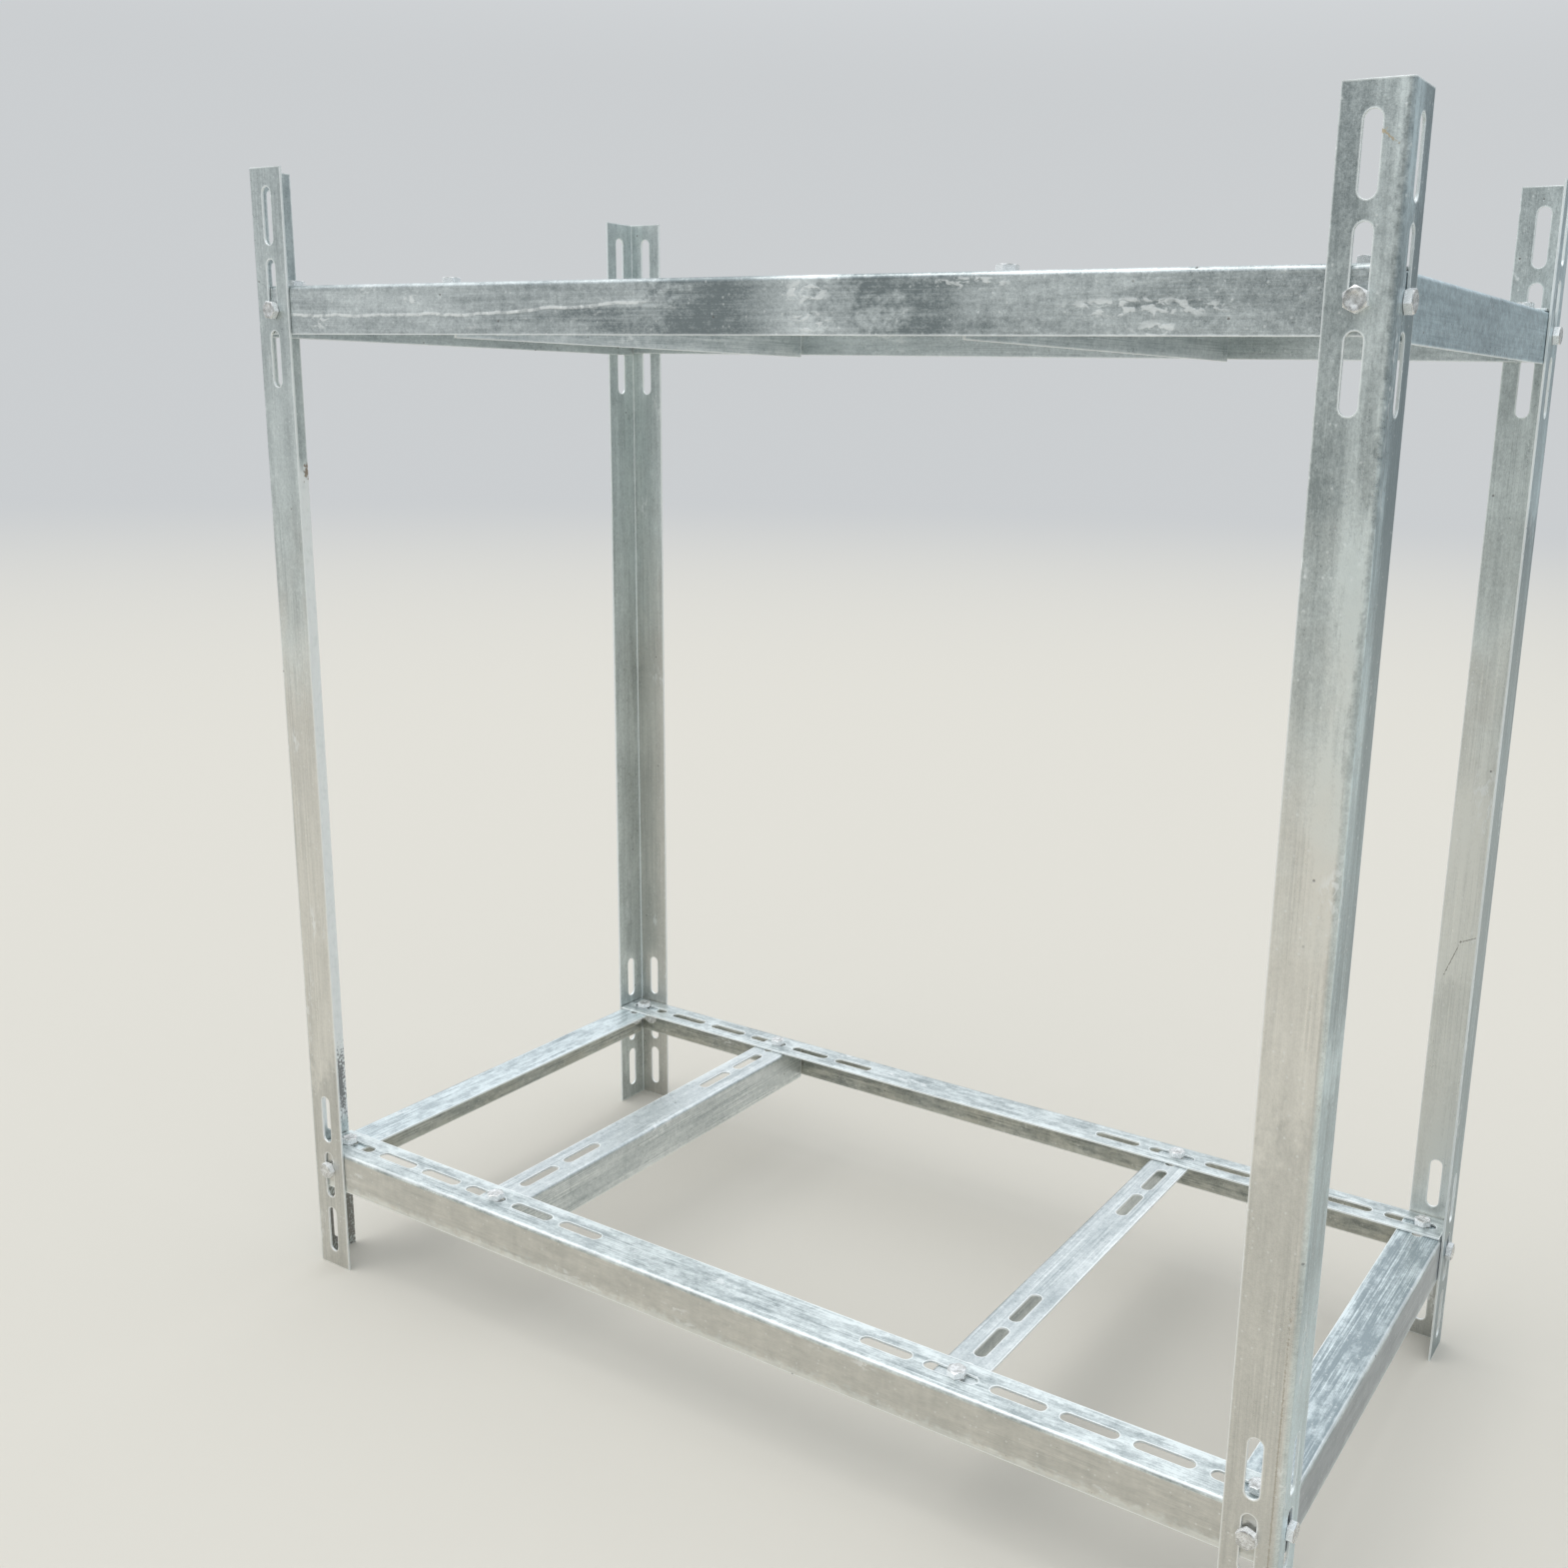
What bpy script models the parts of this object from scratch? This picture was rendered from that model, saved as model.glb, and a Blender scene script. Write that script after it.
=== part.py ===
"""Air conditioner floor stand of galvanised steel angle.

Four slotted angle legs carry an upper and a lower frame. Each frame has two long rails across the
width, and two side rails and two cross members that lie under the long rails' top flanges. The
outdoor unit's feet are bolted to the slots of the lower cross members.

Metres, +Z up, +X along the width, front towards -Y. The origin is on the floor at the middle.
"""

import math

import bmesh
import bpy
from mathutils import Matrix, Vector

# Overall size
stand_width = 1.000
stand_depth = 0.500
stand_height = 1.050

# Steel angle sections
leg_flange = 0.042
leg_steel = 0.002
rail_flange = 0.041
rail_steel = 0.002
bend_radius = 0.0015

# Clearances between pieces
seat_gap = 0.0003
end_gap = 0.0005

# Slots, counted from each end of a piece
slot_width = 0.011
slot_length = 0.048
slot_bridge = 0.012
leg_slot_line = 0.022
leg_slot_margin = 0.016
leg_slots_per_end = 3
rail_slot_line = 0.022
long_rail_slot_margin = 0.0075
long_rail_slots_per_end = 6
short_slot_length = 0.034
short_slot_margin = 0.006
cross_member_slots_per_end = 3

# Where the leg bolts pass
leg_slots_before_bolt = 1
lower_bolt_rise = 0.0305
bolt_drop = 0.0205
bolt_hole_diameter = 0.009

# Where the cross members are bolted: the long rail slots passed over, and how far outwards from
# the middle of the next one
rail_slots_before_left_cross = 3
lower_left_cross_shift = -0.013
upper_left_cross_shift = -0.003
rail_slots_before_right_cross = 4
lower_right_cross_shift = 0.0055
upper_right_cross_shift = 0.0126

# Hexagon bolts and nuts
hex_across_flats = 0.014
hex_chamfer = 0.0011
head_height = 0.0053
nut_height = 0.0065
shank_diameter = 0.008
shank_chamfer = 0.0008
shank_length = 0.016

# Fineness of round stretches
bend_segments = 3
slot_end_segments = 6
hole_segments = 10
shank_segments = 12
smooth_angle = math.radians(40)
weld_distance = 0.00001

# Sizes that follow from the ones above
slot_pitch = slot_length + slot_bridge
half_width = stand_width / 2
half_depth = stand_depth / 2
long_rail_half = half_width - leg_steel - bend_radius - end_gap
long_rail_face = half_depth - leg_steel - seat_gap
side_rail_face = half_width - leg_steel - seat_gap
inner_half = long_rail_face - rail_steel - bend_radius - end_gap
under_flange = rail_steel + seat_gap
leg_grip = leg_steel + seat_gap + rail_steel
flange_grip = rail_steel + seat_gap + rail_steel
bolted_leg_slot = leg_slot_margin + leg_slots_before_bolt * slot_pitch
upper_bolt_height = stand_height - bolted_leg_slot - slot_length + slot_width / 2
lower_bolt_height = bolted_leg_slot + lower_bolt_rise
left = -1
right = 1
front = -1
rear = 1
side_names = {left: "left", right: "right"}
end_names = {front: "front", rear: "rear"}
frame_tops = {
    "lower": lower_bolt_height + bolt_drop,
    "upper": upper_bolt_height + bolt_drop,
}
slots_before_cross = {left: rail_slots_before_left_cross, right: rail_slots_before_right_cross}
cross_shifts = {
    "lower": {left: lower_left_cross_shift, right: lower_right_cross_shift},
    "upper": {left: upper_left_cross_shift, right: upper_right_cross_shift},
}


def clear_scene():
    for item in list(bpy.data.objects):
        bpy.data.objects.remove(item, do_unlink=True)


def new_collection(name):
    collection = bpy.data.collections.new(name)
    bpy.context.scene.collection.children.link(collection)
    return collection


def zinc_material(name, colour, roughness, metallic):
    material = bpy.data.materials.new(name)
    material.use_nodes = True
    shader = material.node_tree.nodes["Principled BSDF"]
    shader.inputs["Base Color"].default_value = (*colour, 1.0)
    shader.inputs["Roughness"].default_value = roughness
    shader.inputs["Metallic"].default_value = metallic
    return material


def arc(centre, radius, start, end, segments):
    """Points of an arc from the start angle to the end angle, both included."""
    points = []
    for step in range(segments + 1):
        angle = start + (end - start) * step / segments
        points.append((centre[0] + radius * math.cos(angle), centre[1] + radius * math.sin(angle)))
    return points


def angle_outline(flange, steel):
    """Section of a bent angle: heel at the origin, one flange along +X and one along +Y."""
    outer = bend_radius + steel
    heel = arc((outer, outer), outer, 1.5 * math.pi, math.pi, bend_segments)
    throat = arc((outer, outer), bend_radius, math.pi, 1.5 * math.pi, bend_segments)
    return heel + [(0, flange), (steel, flange)] + throat + [(flange, steel), (flange, 0)]


def slot_outline(length, width):
    """Slot with round ends, its length along X."""
    centre = (length - width) / 2
    quarter = math.pi / 2
    right_end = arc((centre, 0), width / 2, -quarter, quarter, slot_end_segments)
    left_end = arc((-centre, 0), width / 2, quarter, 3 * quarter, slot_end_segments)
    return right_end + left_end


def round_outline(diameter, segments):
    return arc((0, 0), diameter / 2, 0, 2 * math.pi, segments)[:-1]


def extruded(outline, depth):
    """Closed mesh of a flat outline, extruded from the XY plane up to the depth."""
    curve = bpy.data.curves.new("outline", "CURVE")
    curve.dimensions = "2D"
    curve.fill_mode = "BOTH"
    curve.extrude = depth / 2
    spline = curve.splines.new("POLY")
    spline.points.add(len(outline) - 1)
    for point, (x, y) in zip(spline.points, outline):
        point.co = (x, y, 0, 1)
    spline.use_cyclic_u = True
    holder = bpy.data.objects.new("outline", curve)
    bpy.context.scene.collection.objects.link(holder)
    mesh = evaluated_mesh(holder)
    bpy.data.objects.remove(holder, do_unlink=True)
    mesh.transform(Matrix.Translation((0, 0, depth / 2)))
    return welded(mesh)


def evaluated_mesh(item):
    bpy.context.view_layer.update()
    depsgraph = bpy.context.evaluated_depsgraph_get()
    return bpy.data.meshes.new_from_object(item.evaluated_get(depsgraph))


def welded(mesh):
    shape = bmesh.new()
    shape.from_mesh(mesh)
    bmesh.ops.remove_doubles(shape, verts=shape.verts, dist=weld_distance)
    bmesh.ops.recalc_face_normals(shape, faces=shape.faces)
    shape.to_mesh(mesh)
    shape.free()
    return mesh


def joined(meshes, name):
    shape = bmesh.new()
    for mesh in meshes:
        shape.from_mesh(mesh)
    whole = bpy.data.meshes.new(name)
    shape.to_mesh(whole)
    shape.free()
    return whole


def combined(mesh, tool_mesh, operation, name):
    """Mesh cut by, or united with, the tool mesh."""
    body = bpy.data.objects.new(name, mesh)
    bpy.context.scene.collection.objects.link(body)
    tool = bpy.data.objects.new(name + "_tool", tool_mesh)
    cutters.objects.link(tool)
    tool.hide_render = True
    tool.display_type = "WIRE"
    modifier = body.modifiers.new(operation.lower(), "BOOLEAN")
    modifier.operation = operation
    modifier.solver = "EXACT"
    modifier.object = tool
    result = evaluated_mesh(body)
    result.name = name
    bpy.data.objects.remove(body, do_unlink=True)
    if operation == "UNION":
        bpy.data.objects.remove(tool, do_unlink=True)
    return result


def finished(mesh, material):
    mesh.materials.clear()
    mesh.materials.append(material)
    mesh.shade_smooth()
    mesh.set_sharp_from_angle(angle=smooth_angle)
    return mesh


def basis(x_axis, y_axis, origin):
    """Matrix that puts local X and Y along the given directions."""
    x_axis = Vector(x_axis)
    y_axis = Vector(y_axis)
    z_axis = x_axis.cross(y_axis)
    matrix = Matrix((x_axis, y_axis, z_axis)).transposed().to_4x4()
    matrix.translation = Vector(origin)
    return matrix


def slots_from_ends(length, margin, count, first_length):
    """Start and end of every slot along a piece, the same from both ends."""
    spans = []
    start = margin
    for number in range(count):
        slot = first_length if number == 0 else slot_length
        spans.append((start, start + slot))
        start += slot + slot_bridge
    return spans + [(length - end, length - start) for start, end in spans]


def flange_cutter(outline, steel, flange, line, place):
    """Cutter through one flange, its middle at a line from the heel and a place along the piece."""
    overlap = steel
    cutter = extruded(outline, steel + 2 * overlap)
    if flange == "x":
        cutter.transform(basis((0, 0, 1), (1, 0, 0), (line, -overlap, place)))
    else:
        cutter.transform(basis((0, 0, 1), (0, 1, 0), (steel + overlap, line, place)))
    return cutter


def slot_cutters(spans, steel, flange, line):
    return [
        flange_cutter(slot_outline(end - start, slot_width), steel, flange, line, (start + end) / 2)
        for start, end in spans
    ]


def hole_cutters(places, steel, line):
    outline = round_outline(bolt_hole_diameter, hole_segments)
    return [flange_cutter(outline, steel, "y", line, place) for place in places]


def leg_mesh():
    """Leg: three slots at each end of both flanges, plain between."""
    blank = extruded(angle_outline(leg_flange, leg_steel), stand_height)
    spans = slots_from_ends(stand_height, leg_slot_margin, leg_slots_per_end, slot_length)
    tools = slot_cutters(spans, leg_steel, "x", leg_slot_line)
    tools += slot_cutters(spans, leg_steel, "y", leg_slot_line)
    mesh = combined(blank, joined(tools, "leg_slots"), "DIFFERENCE", "leg")
    return finished(mesh, leg_zinc)


def long_rail_mesh():
    """Long rail: a row of slots at each end of the top flange, bolt holes in the upright one."""
    length = 2 * long_rail_half
    blank = extruded(angle_outline(rail_flange, rail_steel), length)
    spans = slots_from_ends(length, long_rail_slot_margin, long_rail_slots_per_end, slot_length)
    tools = slot_cutters(spans, rail_steel, "x", rail_slot_line)
    hole = leg_slot_line - (half_width - long_rail_half)
    tools += hole_cutters((hole, length - hole), rail_steel, bolt_drop)
    mesh = combined(blank, joined(tools, "long_rail_slots"), "DIFFERENCE", "long_rail")
    return finished(mesh, rail_zinc)


def side_rail_mesh():
    """Side rail: one short slot at each end of the top flange, bolt holes in the upright one."""
    length = 2 * inner_half
    blank = extruded(angle_outline(rail_flange, rail_steel), length)
    spans = slots_from_ends(length, short_slot_margin, 1, short_slot_length)
    tools = slot_cutters(spans, rail_steel, "x", rail_slot_line)
    hole = leg_slot_line - (half_depth - inner_half)
    tools += hole_cutters((hole, length - hole), rail_steel, bolt_drop - under_flange)
    mesh = combined(blank, joined(tools, "side_rail_slots"), "DIFFERENCE", "side_rail")
    return finished(mesh, rail_zinc)


def cross_member_mesh():
    """Cross member: a short slot and then full slots at each end of the top flange."""
    length = 2 * inner_half
    blank = extruded(angle_outline(rail_flange, rail_steel), length)
    spans = slots_from_ends(length, short_slot_margin, cross_member_slots_per_end, short_slot_length)
    tools = slot_cutters(spans, rail_steel, "x", rail_slot_line)
    mesh = combined(blank, joined(tools, "cross_member_slots"), "DIFFERENCE", "cross_member")
    return finished(mesh, cross_zinc)


def hexagon(height, chamfer_both):
    """Hexagon standing on the XY plane, with its top rim, or both rims, chamfered."""
    shape = bmesh.new()
    corner_radius = hex_across_flats / math.sqrt(3)
    bmesh.ops.create_cone(
        shape,
        cap_ends=True,
        segments=6,
        radius1=corner_radius,
        radius2=corner_radius,
        depth=height,
        matrix=Matrix.Translation((0, 0, height / 2)),
    )
    rims = [
        edge
        for edge in shape.edges
        if all(vert.co.z > height / 2 for vert in edge.verts)
        or (chamfer_both and all(vert.co.z < height / 2 for vert in edge.verts))
    ]
    bmesh.ops.bevel(shape, geom=rims, offset=hex_chamfer, segments=1, affect="EDGES")
    mesh = bpy.data.meshes.new("hexagon")
    shape.to_mesh(mesh)
    shape.free()
    return mesh


def shank(length):
    """Round shank hanging from the XY plane, chamfered at its tip."""
    shape = bmesh.new()
    bmesh.ops.create_cone(
        shape,
        cap_ends=True,
        segments=shank_segments,
        radius1=shank_diameter / 2,
        radius2=shank_diameter / 2,
        depth=length,
        matrix=Matrix.Translation((0, 0, -length / 2)),
    )
    tip = [edge for edge in shape.edges if all(vert.co.z < -length / 2 for vert in edge.verts)]
    bmesh.ops.bevel(shape, geom=tip, offset=shank_chamfer, segments=1, affect="EDGES")
    mesh = bpy.data.meshes.new("shank")
    shape.to_mesh(mesh)
    shape.free()
    return mesh


def fastener_mesh(grip, name):
    """Bolt with its nut run up: outside face on the XY plane, head above it, nut below the grip."""
    head = hexagon(head_height, False)
    head.transform(Matrix.Translation((0, 0, seat_gap)))
    stem = shank(shank_length + head_height / 2)
    stem.transform(Matrix.Translation((0, 0, seat_gap + head_height / 2)))
    nut = hexagon(nut_height, True)
    nut.transform(Matrix.Translation((0, 0, -grip - seat_gap - nut_height)))
    bolt = combined(stem, head, "UNION", "bolt")
    return finished(combined(bolt, nut, "UNION", name), bolt_zinc)


def add_piece(name, mesh, matrix, carrier=None):
    item = bpy.data.objects.new(name, mesh)
    stand.objects.link(item)
    item.parent = carrier
    item.matrix_local = matrix
    return item


def add_frame_carrier(level):
    carrier = bpy.data.objects.new(level + "_frame", None)
    stand.objects.link(carrier)
    carrier.location = (0, 0, frame_tops[level])
    return carrier


def add_legs():
    """Legs at the four corners, heels outwards."""
    mesh = leg_mesh()
    turns = {(left, front): 0, (right, front): 90, (right, rear): 180, (left, rear): 270}
    for (side, end), turn in turns.items():
        matrix = Matrix.Translation((side * half_width, end * half_depth, 0))
        matrix = matrix @ Matrix.Rotation(math.radians(turn), 4, "Z")
        add_piece(f"leg_{end_names[end]}_{side_names[side]}", mesh, matrix)


def cross_member_line(level, side):
    """X of the bolts of a cross member, from the long rail slots that hold it."""
    slot_middle = long_rail_slot_margin + slots_before_cross[side] * slot_pitch + slot_length / 2
    return side * (long_rail_half - slot_middle + cross_shifts[level][side])


def add_frame(level, meshes, next_turn):
    """One frame of rails and cross members with its bolts, measured down from its top."""
    carrier = add_frame_carrier(level)
    down = (0, 0, -1)
    for end in (front, rear):
        matrix = basis((0, -end, 0), down, (-end * long_rail_half, end * long_rail_face, 0))
        add_piece(f"{level}_rail_{end_names[end]}", meshes["long_rail"], matrix, carrier)
    for side in (left, right):
        place = (side * side_rail_face, side * inner_half, -under_flange)
        matrix = basis((-side, 0, 0), down, place)
        add_piece(f"{level}_side_rail_{side_names[side]}", meshes["side_rail"], matrix, carrier)
    for side in (left, right):
        line = cross_member_line(level, side)
        place = (line - side * rail_slot_line, -side * inner_half, -under_flange)
        matrix = basis((side, 0, 0), down, place)
        name = f"{level}_cross_member_{side_names[side]}"
        add_piece(name, meshes["cross_member"], matrix, carrier)
        for end in (front, rear):
            place = (line, end * (long_rail_face - rail_slot_line), 0)
            bolt_name = f"{name}_bolt_{end_names[end]}"
            add_bolt(bolt_name, meshes["flange_bolt"], (0, 0, 1), place, carrier, next_turn)
    for side in (left, right):
        for end in (front, rear):
            add_corner_bolts(level, side, end, meshes, carrier, next_turn)


def add_corner_bolts(level, side, end, meshes, carrier, next_turn):
    """Two bolts through the leg and one that joins the rails' top flanges."""
    corner = f"{level}_{end_names[end]}_{side_names[side]}"
    along = half_width - leg_slot_line
    across = half_depth - leg_slot_line
    place = (side * along, end * half_depth, -bolt_drop)
    add_bolt(f"{corner}_rail_bolt", meshes["leg_bolt"], (0, end, 0), place, carrier, next_turn)
    place = (side * half_width, end * across, -bolt_drop)
    add_bolt(f"{corner}_side_bolt", meshes["leg_bolt"], (side, 0, 0), place, carrier, next_turn)
    place = (side * (side_rail_face - rail_slot_line), end * (long_rail_face - rail_slot_line), 0)
    add_bolt(f"{corner}_corner_bolt", meshes["flange_bolt"], (0, 0, 1), place, carrier, next_turn)


def add_bolt(name, mesh, outward, place, carrier, next_turn):
    """Bolt with its head outwards, left at the turn where it came tight."""
    turn = Matrix.Rotation(next(next_turn), 4, "Z")
    matrix = Vector(outward).to_track_quat("Z", "Y").to_matrix().to_4x4()
    matrix.translation = Vector(place)
    add_piece(name, mesh, matrix @ turn, carrier)


def tight_turns():
    """Turns at which the bolts came tight, spread evenly over a hexagon's sixth of a circle."""
    sixth = math.pi / 3
    golden = (math.sqrt(5) - 1) / 2
    count = 0
    while True:
        yield (count * golden % 1) * sixth
        count += 1


clear_scene()
stand = new_collection("air_conditioner_floor_stand")
cutters = new_collection("cutters")
leg_zinc = zinc_material("leg_zinc", (0.52, 0.55, 0.55), 0.48, 0.55)
rail_zinc = zinc_material("rail_zinc", (0.55, 0.59, 0.61), 0.45, 0.55)
cross_zinc = zinc_material("cross_zinc", (0.60, 0.64, 0.66), 0.45, 0.55)
bolt_zinc = zinc_material("bolt_zinc", (0.68, 0.71, 0.72), 0.35, 0.70)
shared_meshes = {
    "long_rail": long_rail_mesh(),
    "side_rail": side_rail_mesh(),
    "cross_member": cross_member_mesh(),
    "leg_bolt": fastener_mesh(leg_grip, "leg_bolt"),
    "flange_bolt": fastener_mesh(flange_grip, "flange_bolt"),
}
turns_left = tight_turns()
add_legs()
for frame_level in frame_tops:
    add_frame(frame_level, shared_meshes, turns_left)
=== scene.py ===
"""Looks of the air conditioner floor stand: galvanised angles, bolts with nuts, studio and camera."""

import math

import bmesh
import bpy
from mathutils import Matrix, Vector


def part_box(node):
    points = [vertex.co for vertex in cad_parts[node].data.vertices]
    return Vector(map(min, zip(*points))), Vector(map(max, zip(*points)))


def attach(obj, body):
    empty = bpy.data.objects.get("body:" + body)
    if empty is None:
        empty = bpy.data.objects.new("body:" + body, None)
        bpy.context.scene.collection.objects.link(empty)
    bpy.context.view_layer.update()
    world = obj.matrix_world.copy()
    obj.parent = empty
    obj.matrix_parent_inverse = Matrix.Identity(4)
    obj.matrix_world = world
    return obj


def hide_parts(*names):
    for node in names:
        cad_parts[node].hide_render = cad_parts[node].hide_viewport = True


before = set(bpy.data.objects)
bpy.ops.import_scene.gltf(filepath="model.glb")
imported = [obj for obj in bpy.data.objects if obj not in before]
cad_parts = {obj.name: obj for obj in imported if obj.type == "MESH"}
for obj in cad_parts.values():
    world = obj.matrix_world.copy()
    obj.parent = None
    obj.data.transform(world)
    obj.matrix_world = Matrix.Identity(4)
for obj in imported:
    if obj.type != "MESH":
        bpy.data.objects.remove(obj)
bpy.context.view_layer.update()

# Steel sections
steel = 0.002
bend_radius = 0.0015
outer_radius = bend_radius + steel
bend_length = math.pi / 2 * (bend_radius + steel / 2)
edge_round = 0.00028
rim_width = 0.0011
bend_steps = 8
bend_guard = 0.001
weld_distance = 1e-6
cut_distance = 1e-7
slot_end_steps = 10
hole_steps = 24
angle_crease = 50

# Slots and holes, as distances from the heel and from a piece's ends
slot_width = 0.011
slot_length = 0.048
slot_pitch = 0.060
slot_line = 0.022
leg_margin = 0.016
leg_slots = 3
long_rail_margin = 0.0075
long_rail_slots = 6
short_slot_length = 0.034
short_slot_margin = 0.006
short_slot_step = 0.046
side_rail_slots = 1
cross_slots = 3
bolt_hole = 0.009
long_rail_hole_place = 0.018
long_rail_hole_line = 0.0205
side_rail_hole_place = 0.0157
side_rail_hole_line = 0.0182

# Bolts and nuts
across_flats = 0.014
corner_radius = across_flats / math.sqrt(3)
face_share = 0.94
chamfer_angle = 30
beyond_corner = 1.02
beyond_drop = 1.05
cut_beyond = 0.001
turned_steps = 48
head_height = 0.0053
dish_share = 0.33
dish_floor = 0.8
dish_depth = 0.0003
nut_height = 0.0065
bore_gap = 0.00004
bore_chamfer = 0.0006
bore_steps = 32
bolt_length = 0.016
thread_radius = 0.004
thread_depth = 0.00068
thread_pitch = 0.00125
thread_slope = 1.25
thread_columns = 24
rows_per_thread = 6
tip_chamfer = 0.0009
seat_gap = 0.0003
grip = 0.0043
bolt_crease = 22
reach_digits = 9

left = -1
right = 1
front = -1
rear = 1
side_names = {left: "left", right: "right"}
end_names = {front: "front", rear: "rear"}
leg_turns = {(left, front): 0, (right, front): 90, (right, rear): 180, (left, rear): 270}
levels = ("lower", "upper")

# Camera as solved from the photograph, its focal length and middle in pixels
frame_pixels = 1569
focal_pixels = 1598.99
principal_x = 895.14
sensor_width = 36
camera_place = (0.7599, -1.2012, 0.8721)
camera_right = Vector((0.84835, 0.52891, 0.02373))
camera_down = Vector((0.14473, -0.18857, -0.97134))
camera_forward = Vector((-0.50927, 0.82747, -0.23652))
camera_reach = 50

# Stage
floor_radius = 45
floor_steps = 96
floor_colour = (0.60, 0.57, 0.51)
floor_roughness = 0.9
floor_specular = 0.1
floor_fade = (2.5, 12)
horizon_colour = (0.60, 0.62, 0.635)
room_colour = (0.34, 0.365, 0.37)
side_colour = (0.31, 0.375, 0.42)
side_edge = (0.35, 0.85)
zenith_colour = (1.12, 1.17, 1.22)
backdrop_direction = (-0.95, 0.31, 0)
backdrop_edge = (0.0, 0.45)
sky_edge = (0.16, 0.50)
key_direction = (-0.40, -0.35, 1.2)
key_colour = (1.0, 0.99, 0.97)
key_strength = 0.8
key_angle = 50

# Tone of single pieces against the rest
piece_tones = {
    "leg_front_left_steel": 0.02,
    "leg_rear_left_steel": 0.13,
    "upper_side_rail_right_steel": -0.06,
    "leg_rear_right_steel": 0.04,
    "lower_side_rail_right_steel": -0.28,
    "lower_side_rail_left_steel": 0.14,
    "lower_rail_front_steel": 0.06,
    "lower_cross_member_right_steel": -0.10,
}

# Stretches of a piece that differ: start, end, change of tone, and how far from the heel they
# begin, where they lie on one flange only (negative on the X flange)
right_leg_patches = (
    (0.78, 1.20, -0.30, None),
    (-0.10, 0.66, 0.10, None),
    (0.39, 0.70, 0.24, 0.002),
    (0.46, 0.84, -0.55, -0.002),
    (0.80, 1.00, -0.28, -0.002),
    (0.27, 0.46, -0.30, -0.002),
    (-0.10, 0.27, 0.15, -0.002),
)
rear_right_leg_patches = (
    (-0.10, 0.72, 0.28, -0.002),
    (0.11, 0.33, 0.12, -0.002),
    (0.33, 0.56, 0.16, -0.002),
    (-0.10, 0.10, -0.40, -0.002),
    (-0.10, 0.80, -0.50, 0.002),
)
left_leg_patches = ((0.20, 0.68, 0.26, None), (0.86, 1.20, -0.10, None))
upper_front_patches = (
    (0.265, 0.372, -0.42, None),
    (0.380, 0.432, 0.30, None),
    (0.428, 0.560, -0.45, None),
    (0.530, 0.640, -0.15, 0.018),
    (0.515, 0.700, -0.15, 0.018),
)

# A drip: its line far along, how far it rises towards its start, where it starts and where it settles
upper_front_drip = (0.0235, 0.0095, 0.50, 0.76)

# Places with splashes: across, along, half width, half length
upper_front_spots = (
    (0.022, 0.15, 0.007, 0.065),
    (0.006, 0.275, 0.005, 0.035),
    (0.029, 0.915, 0.006, 0.018),
    (0.012, 0.80, 0.005, 0.012),
    (0.010, 0.405, 0.010, 0.022),
    (0.030, 0.402, 0.008, 0.020),
)

# Scars: across, along, half width, half length, tilt, colour, and whether on the outside
left_leg_marks = (
    (0.0385, 0.790, 0.0025, 0.007, 0, (0.20, 0.13, 0.07), False),
    (0.033, 0.180, 0.007, 0.035, 0, (0.12, 0.12, 0.12), False),
    (0.022, 0.035, 0.030, 0.042, 0, (0.17, 0.15, 0.125), False),
)
rear_right_leg_marks = (
    (-0.0140, 0.404, 0.0010, 0.0042, 2.0, (0.16, 0.14, 0.12), False),
    (-0.0275, 0.383, 0.0005, 0.0170, 0.34, (0.20, 0.18, 0.15), False),
)
right_leg_marks = (
    (0.0115, 1.020, 0.0010, 0.0042, 1.2, (0.46, 0.37, 0.24), True),
    (0.0140, 1.022, 0.0018, 0.0014, 0, (0.52, 0.45, 0.31), True),
    (0.0048, 0.150, 0.0007, 0.130, 0, (0.40, 0.36, 0.29), True),
)

# White bloom inside the front left leg: start, end, strength
left_leg_bloom = (0.135, 0.80, 1.0)

# Zinc: darkest and lightest colour of each kind of piece
leg_tones = ((0.32, 0.36, 0.36), (0.80, 0.86, 0.845))
rail_tones = ((0.32, 0.365, 0.37), (0.82, 0.875, 0.865))
cross_tones = ((0.38, 0.43, 0.44), (0.86, 0.895, 0.89))
upper_front_tones = ((0.23, 0.265, 0.27), (0.81, 0.86, 0.855))
upper_side_tones = ((0.265, 0.345, 0.385), (0.70, 0.83, 0.875))
lower_side_tones = ((0.305, 0.36, 0.38), (0.79, 0.865, 0.875))

# Zinc: what stains, dust and painted shade let through of the colour under them (a leg's cool flange and the
# inside of a rail's upright flange are painted shade), the colour of white zinc and of painted highlights, and the
# colour of pits
leg_stain = (1.0, 0.91, 0.86)
rear_leg_stain = (0.985, 0.925, 0.895)
# painted cool shade on the outer skin of a leg's plain flange
leg_painted_cool_shade = (0.86, 0.94, 1.0)
face_stain = (1.0, 0.908, 0.845)
side_face_stain = (0.89, 0.855, 0.88)
# painted shade inside a rail's upright flange, for the dark ground it reflects
inner_shade_colour = (0.66, 0.615, 0.55)
# white zinc, and the painted highlights along rims and heels
white_zinc_and_highlight_colour = (0.92, 0.94, 0.93)
pit_colour = (0.09, 0.08, 0.07)

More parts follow.
